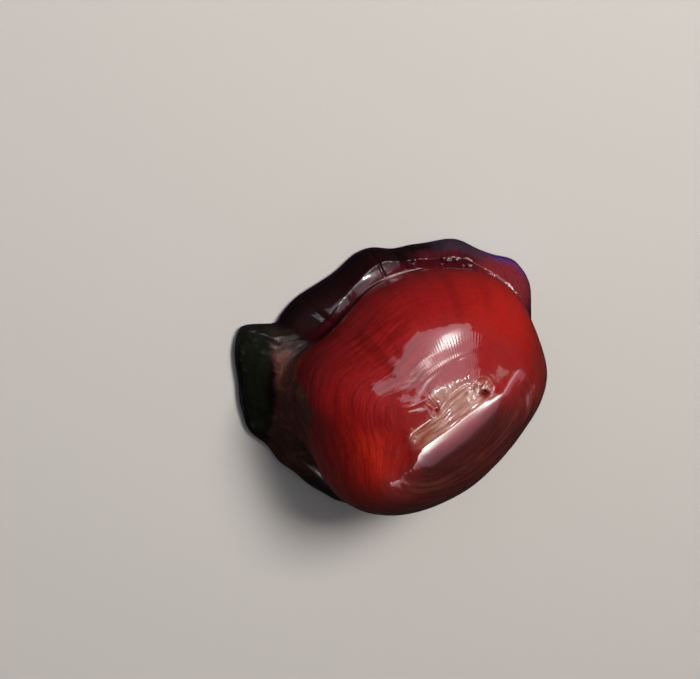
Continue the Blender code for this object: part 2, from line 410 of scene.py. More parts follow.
def dome_ring(theta, degrees):
    """A ring at that angle up the dome. The rings draw in from the column's outline to the
    slit's."""
    turn = np.radians(degrees)
    shoulder = np.sin(np.radians(SHOULDER))
    near = max(0.0, (np.sin(turn) - shoulder) / (1 - shoulder))
    closing = near**2
    east, north = np.cos(theta), np.sin(theta)
    dome = dome_radius(theta)
    stretch = np.sqrt((DOME_X**2 - SLIT**2) * np.cos(turn) ** 2 + SLIT**2) / DOME_X
    x = dome * east * stretch
    narrow = np.sqrt((DOME_Y**2 - SLIT_WIDE**2) * np.cos(turn) ** 2 + SLIT_WIDE**2) / DOME_Y
    boxy = np.sign(north) * np.abs(north) ** (1.0 - SLIT_BOXY * near**4)
    opened = FRONT_OPEN * bell(east - FRONT_OPEN_AT[0], FRONT_OPEN_AT[1])
    wider = np.where(north < 0, opened, -BACK_CLOSED) * near**8
    y = boxy * (dome * narrow + wider) - SLIT_FORWARD * closing
    droop = SLIT_DROOP * x**2 * closing
    ridge = BACK_RIDGE * rise(near, RIDGE_START, 1.0) * np.clip(north, 0.0, 1.0)
    z = DOME_Z + DOME_UP * np.sin(turn) - droop + ridge
    return np.stack([DOME_SHIFT[0] + x, DOME_SHIFT[1] + y, z], axis=-1)


def slit_centre():
    return np.array([DOME_SHIFT[0], DOME_SHIFT[1] - SLIT_FORWARD, 0.0])


def pit_ring(theta, share):
    """A ring inside the slit: share 0 at the lips, 1 at the edge of the floor."""
    lips = dome_ring(theta, LIP_TURN)
    inside = slit_centre() + (lips - slit_centre()) * (1.0 - PIT_DRAWN_IN * share)
    inside[:, 2] = lips[:, 2] - PIT_DEPTH * rise(share, 0, 1)
    return inside


def shares(count):
    """Even steps to 1, without 0."""
    return np.arange(1, count + 1) / count


def skin_grid(theta):
    """The smooth skin, from the middle of the sole out, up and in to the middle of the mouth.
    Gives the points, each row's zone and each row's place in its zone: degrees on the wall and
    the dome, -1 to 1 across the skirt, and 0 to 1 elsewhere, or to 2 in the middle of the pit."""
    rows, zones, places = [], [], []

    def add(points, zone, place):
        rows.append(points)
        zones.append(zone)
        places.append(place)

    foot, dome = foot_radius(theta), dome_radius(theta)
    crest, share_in, furrow, waist, straight = skirt_levels(theta)
    for share in SOLE_SHARES:
        add(ring(theta, (foot - RIM_RADIUS) * share, 0.0, 0.0), SOLE, share)
    for share in (0.0, *shares(RIM_STEPS)):
        turn = share * np.pi / 2
        radius = foot - RIM_RADIUS * (1 - np.sin(turn))
        add(ring(theta, radius, DISC_TOP * (1 - np.cos(turn)), 0.0), RIM, share)
    crest_in = share_in * (foot - waist)
    for share in shares(OUTER_STEPS):
        turn = share * np.pi / 2
        radius = foot - crest_in * (1 - np.cos(turn))
        up = (1 - straight) * np.sin(turn) + straight * (1 - np.cos(turn))
        add(ring(theta, radius, DISC_TOP + (crest - DISC_TOP) * up, 0.0), SKIRT, share - 1)
    for share in shares(INNER_STEPS):
        radius = foot - crest_in - share * (foot - crest_in - waist)
        down = (1 - straight) * (1 + np.cos(np.pi * share)) / 2 + straight * (1 - share)
        add(ring(theta, radius, furrow + (crest - furrow) * down, share), SKIRT, share)
    start = np.radians(WALL_START)
    for share in shares(WALL_STEPS):
        turn = start * (1 - share)
        out = (np.cos(turn) - np.cos(start)) / (1 - np.cos(start))
        height = furrow + (DOME_Z - furrow) * (1 - np.sin(turn) / np.sin(start))
        add(ring(theta, waist + (dome - waist) * out, height, 1.0), WALL, np.degrees(turn))
    sides = np.linspace(0.0, SHOULDER, DOME_STEPS + 1)[1:]
    tops = np.linspace(SHOULDER, LIP_TURN, LIP_STEPS + 1)[1:]
    for degrees in (*sides, *tops):
        add(dome_ring(theta, degrees), DOME, degrees)
    for share in shares(PIT_STEPS):
        add(pit_ring(theta, share), PIT, share)
    edge = pit_ring(theta, 1.0)
    for share in shares(FLOOR_STEPS):
        inside = slit_centre() + (edge - slit_centre()) * (1.0 - FLOOR_DRAWN_IN * share)
        add(inside, PIT, 1.0 + share)
    return np.array(rows), np.array(zones), np.array(places)


def chance(cells, seed):
    """A fixed random number from -1 to 1 for each whole-number cell."""
    mixed = cells @ np.array([374761393, 668265263, 1440662683]) + seed * 974634777
    mixed = mixed & 0xFFFFFFFF
    mixed = ((mixed ^ (mixed >> 13)) * 1274126177) & 0xFFFFFFFF
    mixed = ((mixed ^ (mixed >> 15)) * 461845907) & 0xFFFFFFFF
    return ((mixed ^ (mixed >> 16)) & 0xFFFF) / 32767.5 - 1.0


def noise(points, seed):
    """Smooth noise from -1 to 1 with features about one unit across."""
    cells = np.floor(points).astype(np.int64)
    inside = points - cells
    inside = inside**3 * (inside * (inside * 6 - 15) + 10)
    total = 0.0
    for corner in itertools.product((0, 1), repeat=3):
        weight = np.prod(np.where(corner, inside, 1.0 - inside), axis=-1)
        total = total + weight * chance(cells + np.array(corner), seed)
    return total


def layered(points, seed, layers=3):
    """Noise with finer and fainter layers over it, each about half the size of the last."""
    total = sum(noise(points * 2.03**k, seed + 17 * k) * 0.5**k for k in range(layers))
    return total / (2 - 0.5 ** (layers - 1))


def facing(points):
    """Outward unit normals of the grid."""
    round_way = np.roll(points, -1, axis=1) - np.roll(points, 1, axis=1)
    up_way = np.gradient(points, axis=0)
    normal = np.cross(round_way, up_way)
    return normal / np.maximum(np.linalg.norm(normal, axis=-1, keepdims=True), 1e-9)


def laid_over(colour, paints):
    """The colour with each paint laid over it in turn, by the paint's share at each point."""
    for paint, share in paints:
        colour = colour + (np.array(paint) - colour) * np.clip(share, 0.0, 1.0)[..., None]
    return colour


class Skin:
    """The skin's grid with what its relief and colours are worked out from. climb is mm up from
    the furrow, turn the degrees up the wall and the dome, skirt the place across the roll (-1 at
    the rim, 0 on the crest, 1 in the furrow) and pit the place in the mouth (0 at the lips, 1 at
    the edge of its floor, 2 in the middle)."""

    def __init__(self):
        even = np.linspace(0.0, 2.0 * np.pi, ROUND, endpoint=False)
        self.theta = even + CROWDING / 2 * np.sin(2 * even)
        self.points, self.zones, places = skin_grid(self.theta)
        self.furrow = int(np.nonzero(self.zones == SKIRT)[0][-1])
        self.lips = int(np.nonzero(self.zones == DOME)[0][-1])
        self.sink_mouth()
        self.soften(self.furrow, 3, 2)
        self.soften(self.lips, 3, 3)
        self.soften(self.lips, 6, 14, fall(np.sin(self.theta), -0.45, -0.10))  # the near lip

        steps = np.linalg.norm(np.diff(self.points, axis=0), axis=-1)
        climb = np.concatenate([np.zeros((1, ROUND)), np.cumsum(steps, axis=0)])
        self.climb = climb - climb[self.furrow]
        self.around = self.theta[None, :]
        self.zone = zone = self.zones[:, None]
        place = places[:, None]
        self.upper = (zone == WALL) | (zone == DOME)
        elsewhere = np.where(zone == PIT, LIP_TURN + PIT_TURNS * place, BELOW_WALL)
        self.turn = np.where(self.upper, place, elsewhere)
        self.skirt = np.where(zone == SKIRT, place, np.where(zone > SKIRT, INSIDE, OUTSIDE))
        self.pit = np.where(zone == PIT, place, 0.0)

    def lip_lines(self, x):
        """Where the near and the far lip lie at each x: the place and height of both, and then
        the place along the mouth from -1 to 1."""
        ring_of_lips = self.points[self.lips]
        near = ring_of_lips[ROUND // 2 :]
        far = ring_of_lips[ROUND // 2 :: -1]
        lines = [np.interp(x, lip[:, 0], lip[:, axis]) for lip in (near, far) for axis in (1, 2)]
        middle, half = (near[-1, 0] + near[0, 0]) / 2, (near[-1, 0] - near[0, 0]) / 2
        return *lines, (x - middle) / half

    def across_mouth(self, points):
        """0 at the near lip and 1 at the far one, the width there and the place along the
        mouth."""
        near_y, _, far_y, _, along = self.lip_lines(points[..., 0])
        width = np.maximum(far_y - near_y, 0.05)
        return np.clip((points[..., 1] - near_y) / width, 0.0, 1.0), width, along

    def sink_mouth(self):
        """Makes the closed mouth a shallow valley between the near lip and the far one."""
        inner = self.points[self.lips + 1 :]
        _, near_z, _, far_z, along = self.lip_lines(inner[..., 0])
        share, width, _ = self.across_mouth(inner)
        depth = TROUGH * width * np.clip(1.0 - np.abs(along) ** 6, 0.0, 1.0)
        valley = rise(share, 0, 0.40) * fall(share, 0.60, 1)
        inner[..., 2] = near_z * (1 - share) + far_z * share - depth * valley

    def soften(self, row, reach, times, share=1.0):
        """Rounds the crease along one row, by a share of its own at each angle."""
        share = np.broadcast_to(share, ROUND)[None, :, None]
        rows = slice(row - reach, row + reach + 1)
        for _ in range(times):
            part = self.points[row - reach - 1 : row + reach + 2]
            evened = (part[:-2] + 2 * part[1:-1] + part[2:]) / 4
            self.points[rows] += share * (evened - part[1:-1])

    def side(self, start, end, fade):
        """1 round the body from the start angle to the end angle, with a fade across both."""
        half = (end - start) / 2
        away = np.abs(degrees_past(self.around, (start + end) / 2))
        return fall(away, half - fade, half + fade)

    def flow(self):
        """Places on the skin in mm: round the body as a point on a circle, and up it."""
        level = 0.0 * self.climb
        east, north = FLOW_RADIUS * np.cos(self.around), FLOW_RADIUS * np.sin(self.around)
        return np.stack([east + level, north + level, self.climb], axis=-1)

    def streaks(self, long, short, seed):
        """Noise drawn out round the body: features long along the rings and short across them."""
        return layered(self.flow() / np.array([long, long, short]), seed, 2)

    def spokes(self, count, long, seed):
        """Noise drawn out up the body, with about that many features round it."""
        wide = FLOW_RADIUS * 2 * np.pi / count
        return layered(self.flow() / np.array([wide, wide, long]), seed, 1)

    def lumps(self, size, seed):
        """Noise with features of that size on all sides."""
        return layered(self.points / size, seed, 2)

    def relief(self):
        """How far each point stands out of the smooth skin."""
        turn = self.turn
        on_dome = between(turn, -56, 78, 4)
        low_right = self.side(-92, 25, 14) * between(turn, 8, 76, 8)
        back = self.side(25, 168, 14) * between(turn, -56, 58, 6)
        height = on_dome * (0.10 * self.lumps(8, 1) + 0.015 * self.lumps(2.6, 2))
        for long, short, seed, dome_high, right_high, back_high in RIPPLES:
            high = dome_high * on_dome + right_high * low_right + back_high * back
            height += high * self.streaks(long, short, seed)
        top = (turn > 40) * (self.zone == DOME)
        height += top * 0.40 * spot(self.points, *RIDGE_SWELLING)
        height += top * 0.17 * spot(self.points, *RIDGE_BUMP)
        height -= top * 0.55 * rise(turn, 40, 54) * self.behind_ridge()
        groove = between(self.points[..., 2], 1.2, 1.7, 0.2) * (self.skirt < -0.3)
        height -= RIM_GROOVE * groove
        height += self.fan() + self.near_rim()
        return height + self.skirt_relief() + self.lobe_relief() + self.beads()

    def beads(self):
        """Small bumps scattered over parts of the skirt and the dome."""
        draw = np.random.default_rng(BEAD_SEED).uniform
        height = np.zeros(self.climb.shape)
        for count, first, last, low, high, size in BEAD_AREAS:
            for _ in range(count):
                angle, up, wide = draw(first, last), draw(low, high), size * draw(0.7, 1.3)
                column = int(np.argmin(np.abs(degrees_past(self.theta, angle))))
                row = int(np.argmin(np.abs(self.climb[:, column] - up)))
                away = np.linalg.norm(self.points - self.points[row, column], axis=-1)
                height = np.maximum(height, wide * bell(away, wide))
        return height

    def behind_ridge(self):
        """A step down behind the far ridge's left end, which fades out farther back."""
        east, north = self.points[..., 0], self.points[..., 1]
        x, y, slope = RIDGE_LINE
        behind = north - y - slope * (east - x)
        return rise(behind, 2.1, 5.8) * fall(behind, 7, 14) * fall(east, -12, -9.5)

    def skirt_relief(self):
        """Pillows between radial folds at the front of the skirt, and bumps at its left."""
        around, skirt = self.around, self.skirt
        roll = between(skirt, -1, 0.9, 0.08)
        height = roll * (0.08 * self.lumps(3.4, 8) + 0.02 * self.lumps(1.1, 9))
        above_rim = roll * rise(skirt, -0.9, -0.5)
        for at, wide, deep in SKIRT_FOLDS:
            height -= deep * above_rim * bell(degrees_past(around, at), wide)
        bumpy = roll * self.side(-182, -128, 6)
        return height + 0.24 * bumpy * np.clip(self.lumps(1.5, 17) - 0.05, 0.0, 1.0)

    def lobe_relief(self):
        """Long ridges on the right lobe, and wrinkles on it and on the wall above it."""
        skirt = self.skirt
        ridged = self.side(-60, 15, 8) * between(skirt, -0.95, -0.25, 0.10)
        place = skirt + 0.05 * self.streaks(9, 3, 18)
        ridges = 0.16 * np.cos(2 * np.pi * place / LOBE_RIDGES) + 0.06 * self.lumps(1.3, 11)
        wrinkled = self.side(-56, 8, 8) * fall(self.turn, -10, 16) * (skirt > -0.5)
        wrinkled = wrinkled * np.maximum(rise(skirt, -0.1, 0.4), self.upper)
        wrinkles = 0.16 * self.streaks(3.2, 1.6, 12) + 0.06 * self.lumps(1.2, 13)
        return ridged * ridges + wrinkled * wrinkles

    def fan(self):
        """Fine pleats that spread from the mouth's left end, and the fold that crosses them."""
        around, turn = self.around, self.turn
        wander = 1.5 * self.spokes(16, 5, 14)
        fade = 0.55 + 0.45 * self.spokes(30, 2, 15)
        pleated = self.side(-146, -92, 8) * between(turn, 50, 79, 4)
        pleats = 0.012 * pleated * fade * np.cos(FAN_PLEATS * around + wander)
        past_fold = turn - 63.5 - 0.05 * degrees_past(around, -105.0)
        return pleats + 0.07 * self.side(-134, -78, 12) * bell(past_fold, 2)

    def near_rim(self):
        """The near lip's raised rim, broken up by pleats, with finer teeth at its left."""
        turn = self.turn
        reach = np.where(self.zone == PIT, 4.0 * self.pit, (LIP_TURN - turn) / 5.0)
        rim = self.side(-152, -6, 9) * bell(reach, 1) * (turn > 60)
        pleats = 0.8 + 0.6 * self.spokes(44, 3, 7) + 0.15 * self.spokes(150, 3, 16)
        tall = 0.035 + 0.08 * self.side(-44, -8, 9)
        toothed = self.side(-150, -72, 6) * between(turn, 75, 86, 2)
        return tall * rim * pleats + 0.022 * toothed * self.spokes(230, 2.2, 40)

    def mouth(self, points):
        """Ribs, bumps and the hole of the closed mouth, added to the height of the points."""
        share, width, along = self.across_mouth(points)
        inside = between(share, 0.12, 0.86, 0.10) * np.clip(1.0 - along**8, 0.0, 1.0)
        bent = share + 0.06 * noise(points / np.array([4.0, 2.0, 4.0]), 20)
        lift = RIB_HEIGHT * width * inside * np.cos(2 * np.pi * RIBS * bent)
        lift += 0.025 * inside * layered(points * np.array([0.4, 1.4, 0.3]), 21)
        lift += 0.60 * inside * spot(points, *MOUTH_SWELLING)
        for x, y, size, tall in MOUTH_BUMPS:
            lift += tall * spot(points, x, y, size, size)
        return lift - 0.9 * spot(points, *HOLE) - 0.45 * spot(points, *NOTCH)

    def shape(self):
        """The finished points: the relief along the normals, then the mouth, with the sole kept
        flat."""
        free = np.where(self.zone <= RIM, 0.0, 1.0)
        points = self.points + facing(self.points) * (free * self.relief())[..., None]
        points[..., 2] += self.mouth(points) * rise(self.turn, LIP_TURN - 6.0, LIP_TURN)
        return points

    def tint(self):
        """The skin's colour at each point, as linear red, green and blue: its own colours with
        painted shade, glow and highlights laid into them.
        """
        colour = laid_over(np.zeros(self.points.shape) + DOME_RED, self.dome_paints())
        striped = self.side(-150, -58, 14) * between(self.turn, -40, 50, 16)
        colour *= (1 - 0.25 * striped * rise(self.spokes(90, 12, 33), 0.0, 0.7))[..., None]
        rest = (self.mouth_paints(), self.skirt_paints(), self.lobe_paints(), self.edge_paints())
        colour = laid_over(colour, itertools.chain(*rest))
        return np.clip(colour * (1 + 0.07 * self.lumps(1.2, 35))[..., None], DARKEST, 1.0)

    def dome_paints(self):
        """The dome's paints: painted shade on its front, the back's own brown and a painted glow
        of light through the flesh.
        Here and below, each paint comes with its share at each point."""
        turn = self.turn
        for paint, strength, stretch, thins, ends in DOME_SHADES:
            yield paint, strength * self.side(*stretch) * fall(turn, thins, ends)
        # painted glow of light through the flesh, high on the dome's right and lower on its left
        yield DOME_PAINTED_GLOW, 0.8 * bell(turn - 54.0, 16.0) * self.side(-26, 12, 15)
        left = self.side(-178, -140, 18)
        yield DOME_PAINTED_GLOW, 0.25 * left * between(turn, -2, 50, 12)

    def mouth_paints(self):
        """The lips and what lies in the mouth, with the hole's red darkened by painted shade and
        painted white glints on the first bumps.
        """
        in_pit = self.pit > 0.0
        yield LIP_PINK, 0.45 * rise(self.turn, 81, 86)
        yield LIP_TAN, self.film()
        # the hole's red with painted shade in the recess
        yield MOUTH_RED_AND_SHADE, 1.6 * spot(self.points, *HOLE_SHADE_OVAL) * in_pit
        # painted white glints on the first bumps in the mouth
        for x, y, size, _ in MOUTH_BUMPS[:GLINT_PAINTED_BUMPS]:
            yield PAINTED_GLINT_WHITE, 0.9 * spot(self.points, x, y, 0.7 * size, 0.7 * size) * in_pit

    def skirt_paints(self):
        """The skirt's near-black, its own colour with painted shade on the front's outer slope,
        then red on its crest and a redder wedge at its left.
        """
        turn, skirt = self.turn, self.skirt
        yield SKIRT_DARK_AND_SHADE, fall(turn, -56, -30)
        crest = between(skirt, -0.45, 1, 0.22)
        yield SKIRT_RED, 0.8 * crest * self.side(-200, -60, 8)
        # painted shade on the outer slope of the skirt's front, over its own dark colour
        yield SKIRT_DARK_AND_SHADE, 0.9 * self.side(-126, -60, 6) * fall(skirt, -0.15, 0.75)
        wedge = self.side(-188, -158, 7)
        yield WEDGE_RED, 0.85 * wedge * between(skirt, -0.8, 1, 0.12)
        yield WEDGE_RED, 0.6 * wedge * fall(turn, -40, -10) * self.upper

    def lobe_paints(self):
        """The right lobe: black that is partly painted shadow of the dome, a painted green sheen
        and painted highlights along its ridges; and the brown skin above it, with dark streaks.
        """
        skirt = self.skirt
        # black on the lobe, partly its own colour and partly painted shadow from the dome
        dark = self.side(-56, 25, 7) * fall(skirt, -0.05, 0.45)
        yield BLACK_AND_SHADOW, dark
        # painted green sheen of reflected light on the lobe
        yield LOBE_GREEN_SHEEN, 0.8 * dark * rise(self.lumps(2.2, 43), -0.05, 0.30)
        # painted highlights along the lobe's ridges
        lines = fall(np.abs(self.streaks(14, 0.9, 44)), 0.01, 0.05)
        lined = self.side(-46, -6, 6) * between(skirt, -0.95, -0.35, 0.10)
        yield LOBE_RIDGE_HIGHLIGHT, 0.55 * lines * lined
        brown = self.brown_zone()
        yield BROWN, 0.95 * brown
        yield BLACK_AND_SHADOW, 0.5 * brown * fall(self.streaks(3.2, 2, 34), -0.6, 0.0)

    def edge_paints(self):
        """Grey and blue at the skirt's left, a painted highlight for the line of water in its
        crease, and the sole.
        """
        skirt = self.skirt
        grey = self.side(-162, -138, 6) * fall(skirt, -0.45, -0.15)
        yield SKIRT_GREY, 0.7 * grey * (self.zone <= SKIRT)
        left = self.side(-184, -160, 7)
        low = fall(self.points[..., 2], 1.2 + 1.0 * left, 1.8 + 2.2 * left) * (skirt < 0)
        yield LIMBUS_BLUE, low * (0.03 + 0.52 * left)
        crease = np.where(self.zone == SKIRT, 1.0 - skirt, (self.turn - BELOW_WALL) / 30.0)
        # painted highlight of the water's meniscus in the crease
        meniscus_highlight = self.side(-154, -108, 5) * fall(crease, 0.05, 0.16)
        yield WATER_LINE_HIGHLIGHT, 0.8 * meniscus_highlight * (skirt > 0.5)
        yield SOLE_PINK, 1.0 * (self.zone == SOLE)

    def brown_zone(self):
        """1 on the veined brown skin above the right lobe, up to a slanting line across the
        dome."""
        line = np.interp(degrees_past(self.around, 0.0), *zip(*BROWN_EDGE))
        place = np.where(self.upper, self.turn, np.where(self.zone == SKIRT, -60.0, 90.0))
        below = rise(line - place + 3.0 * self.lumps(2.5, 37), -2.0, 3.0)
        outward = self.points[..., 0] * 0.86 - self.points[..., 1] * 0.50
        inner = fall(outward + 0.5 * self.lumps(1.6, 38), 21.8, 22.6)
        on_skirt = self.side(-50, 20, 7)
        inner = inner * np.where(self.zone > SKIRT, 1.0, on_skirt)
        return self.side(-64, 16, 5) * inner * below

    def film(self):
        """How much pale, clouded film lies on the near lip and, in streaks, along the mouth."""
        share, _, along = self.across_mouth(self.points)
        inner = rise(self.turn, 82, 86) * between(share, 0.20, 1.4, 0.12)
        inner = inner * between(along, -0.97, 0.90, 0.08)
        clouds = layered(self.points * np.array([0.45, 3.2, 0.3]), 41)
        streaks = np.clip(0.45 + 0.95 * clouds, 0.0, 1.0)
        on_lip = spot(self.points, *FILM_ON_LIP) * (self.points[..., 1] < -2.6)
        on_lip = on_lip * rise(self.turn, 70, 76) * (0.75 + 0.35 * self.spokes(120, 3, 42))
        return np.maximum(0.72 * inner * streaks, 0.75 * on_lip)

    def wet(self):
        """How much clear film lies on the skin: little on the lobe and the brown skin above
        it, and less in most of the mouth and on the front of the skirt."""
        on_skirt = self.zone == SKIRT
        on_lobe = self.side(-60, 24, 6) * on_skirt
        dull = (
            0.92 * self.brown_zone(),
            on_lobe * (0.65 + 0.27 * rise(self.skirt, -0.6, -0.2)),
            0.45 * self.side(-126, -60, 8) * on_skirt,
            0.45 * rise(self.pit, 0.05, 0.35) * rise(self.points[..., 0], -5.0, -2.0),
        )
        return 1.0 - np.max(dull, axis=0)

    def grain(self):
        """How strong the fine markings are at each point: lines round the body, brown threads,
        mottling and veins."""
        turn = self.turn
        arcs = self.side(-100, 20, 18) * between(turn, -40, 70, 10)
        arcs = arcs + 0.9 * self.side(30, 150, 18) * between(turn, 0, 74, 8)
        threads = self.side(15, 172, 12) * rise(turn, -50, -30)
        threads = threads * fall(turn, 60, 76)
        mottle = 0.45 + 0.55 * (self.zone <= SKIRT) + 0.0 * self.around
        amounts = np.stack([0.15 + 0.70 * arcs, threads, mottle, self.brown_zone()], axis=-1)
        return amounts * (self.zone != SOLE)[..., None]


def skin_faces(rows):
    """Quads between the rings, a fan under the sole and a strip across the mouth's floor."""
    step = np.arange(ROUND)
    after = (step + 1) % ROUND
    low = (np.arange(rows - 1) * ROUND)[:, None]
    high = low + ROUND
    quads = np.stack([low + step, low + after, high + after, high + step], axis=-1)
    fan = np.stack([after, step, np.full(ROUND, rows * ROUND)], axis=-1)
    last = (rows - 1) * ROUND
    strip = []
    for left in range(ROUND // 2):
        corners = [left, left + 1, (ROUND - 1 - left) % ROUND, (ROUND - left) % ROUND]
        strip.append([last + corner for corner in dict.fromkeys(corners)])
    return quads.reshape(-1, 4), fan, strip


def skin_map(skin):
    """Flat places for each face's corners: the sole, skirt, wall and dome as discs or rings, one
    to a quarter of the map."""
    low, high, radius = 0.25, 0.75, 0.24
    rows = len(skin.zones)
    rim_top = int(np.nonzero(skin.zones == RIM)[0][-1])
    wall_top = int(np.nonzero(skin.zones == WALL)[0][-1])
    waist = np.hypot(skin.points[skin.furrow, :, 0], skin.points[skin.furrow, :, 1])
    climb = skin.climb
    out = np.stack([np.cos(skin.theta), np.sin(skin.theta)], axis=-1)
    sole = np.hypot(skin.points[..., 0], skin.points[..., 1])
    islands = (
        (0, rim_top, sole, (low, low)),
        (rim_top, skin.furrow, waist - climb, (high, low)),
        (skin.furrow, wall_top, waist + climb, (low, high)),
        (wall_top, rows - 1, 0.5 + climb[-1] - climb, (high, high)),
    )
    quads = np.zeros((rows - 1, ROUND, 4, 2))
    after = (np.arange(ROUND) + 1) % ROUND
    for first, last, reach, middle in islands:
        reach = reach[first : last + 1]
        flat = out * (reach / reach.max() * radius)[..., None] + middle
        corners = [flat[:-1], flat[:-1, after], flat[1:, after], flat[1:]]
        quads[first:last] = np.stack(corners, axis=2)
        if first == 0:
            fan = np.stack([flat[0, after], flat[0], np.zeros((ROUND, 2)) + middle], axis=1)
    return quads.reshape(-1, 2), fan.reshape(-1, 2), flat[-1]


def shown(mesh):
    """A new object of the scene, with the mesh and its name."""
    obj = bpy.data.objects.new(mesh.name, mesh)
    bpy.context.scene.collection.objects.link(obj)
    return obj


def make_skin():
    """The skin as one mesh, with its colours, its grain, its flow and its map."""
    skin = Skin()
    rows = len(skin.zones)
    shape = skin.shape().reshape(-1, 3)
    points = (np.concatenate([shape, [[0.0, 0.0, 0.0]]]) + ORIGIN) * MM
    quads, fan, strip = skin_faces(rows)
    mesh = bpy.data.meshes.new("anemone_skin")
    mesh.from_pydata(points.tolist(), [], [*quads.tolist(), *fan.tolist(), *strip])
    tint = np.concatenate([skin.tint(), skin.wet()[..., None]], axis=-1)
    sole_tint, no_grain = (*SOLE_PINK, 1.0), (0.0, 0.0, 0.0, 0.0)
    for name, values, last in (("tint", tint, sole_tint), ("grain", skin.grain(), no_grain)):
        colours = np.concatenate([values.reshape(-1, 4), [last]])
        layer = mesh.color_attributes.new(name, "FLOAT_COLOR", "POINT")
        layer.data.foreach_set("color", colours.ravel())
    flow = np.concatenate([skin.flow().reshape(-1, 3), [[0.0, 0.0, 0.0]]])
    layer = mesh.attributes.new("flow", "FLOAT_VECTOR", "POINT")
    layer.data.foreach_set("vector", flow.ravel())
    flat, fan_flat, last = skin_map(skin)
    strip_flat = last[np.concatenate(strip) - (rows - 1) * ROUND]
    uv = mesh.uv_layers.new(name="OFBake")
    uv.uv.foreach_set("vector", np.concatenate([flat, fan_flat, strip_flat]).ravel())
    mesh.shade_smooth()
    mesh.validate()
    return shown(mesh)


def node(tree, kind, **values):
    """A new shader node. Values that are its own properties are set, and the rest go to its
    sockets."""
    made = tree.nodes.new("ShaderNode" + kind)
    for name, value in values.items():
        if hasattr(made, name):
            setattr(made, name, value)
        else:
            made.inputs[name.replace("_", " ")].default_value = value
    return made


def ranged(tree, value, start, end, low, high):
    """The value spread from one range to another."""
    made = node(tree, "MapRange")
    for name, number in zip(("From Min", "From Max", "To Min", "To Max"), (start, end, low, high)):
        made.inputs[name].default_value = number
    tree.links.new(value, made.inputs["Value"])
    return made.outputs["Result"]


def combined(tree, kind, operation, *values):
    """The result of a math node of that kind. Each value is a socket or a plain value."""
    made = node(tree, kind, operation=operation)
    for socket, value in zip(made.inputs, values):
        if isinstance(value, bpy.types.NodeSocket):
            tree.links.new(value, socket)
        else:
            socket.default_value = value
    return made.outputs[0]


def product(tree, first, second):
    return combined(tree, "Math", "MULTIPLY", first, second)


def noise_on(tree, place, **values):
    """A noise texture on the given places."""
    made = node(tree, "TexNoise", **values)
    tree.links.new(place, made.inputs["Vector"])
    return made


def drawn_noise(tree, place, stretch, detail, roughness):
    """Noise on places on the skin in mm, with features as long and as short as the stretch
    says."""
    scaled = combined(tree, "VectorMath", "DIVIDE", place, stretch)
    return noise_on(tree, scaled, Scale=1.0, Detail=detail, Roughness=roughness).outputs["Fac"]


def painted_over(tree, share, under, paint):
    """The colour under a paint, mixed with it by the share."""
    made = node(tree, "Mix", data_type="RGBA")
    tree.links.new(share, made.inputs["Factor"])
    tree.links.new(under, made.inputs["A"])
    made.inputs["B"].default_value = (*paint, 1.0)
    return made.outputs["Result"]


def bumped(tree, height, strength, distance):
    """The normal of a surface with that fine relief."""
    made = node(tree, "Bump", Strength=strength, Distance=distance)
    tree.links.new(height, made.inputs["Height"])
    return made.outputs["Normal"]


def vein_lines(tree, flow):
    """1 along an uneven net of veins and 0 between them."""
    bent = noise_on(tree, flow, Scale=0.35, Detail=5.0, Roughness=0.6).outputs["Color"]
    bend = (5.0, 5.0, 5.0)
    shifted = combined(tree, "VectorMath", "MULTIPLY_ADD", bent, bend, flow)
    cells = node(tree, "TexVoronoi", feature="DISTANCE_TO_EDGE", Scale=0.26)
    tree.links.new(shifted, cells.inputs["Vector"])
    patchy = ranged(tree, drawn_noise(tree, flow, *VEIN_PATCHES), 0.40, 0.62, 0.0, 1.0)
    return product(tree, ranged(tree, cells.outputs["Distance"], 0.01, 0.09, 0.9, 0.0), patchy)


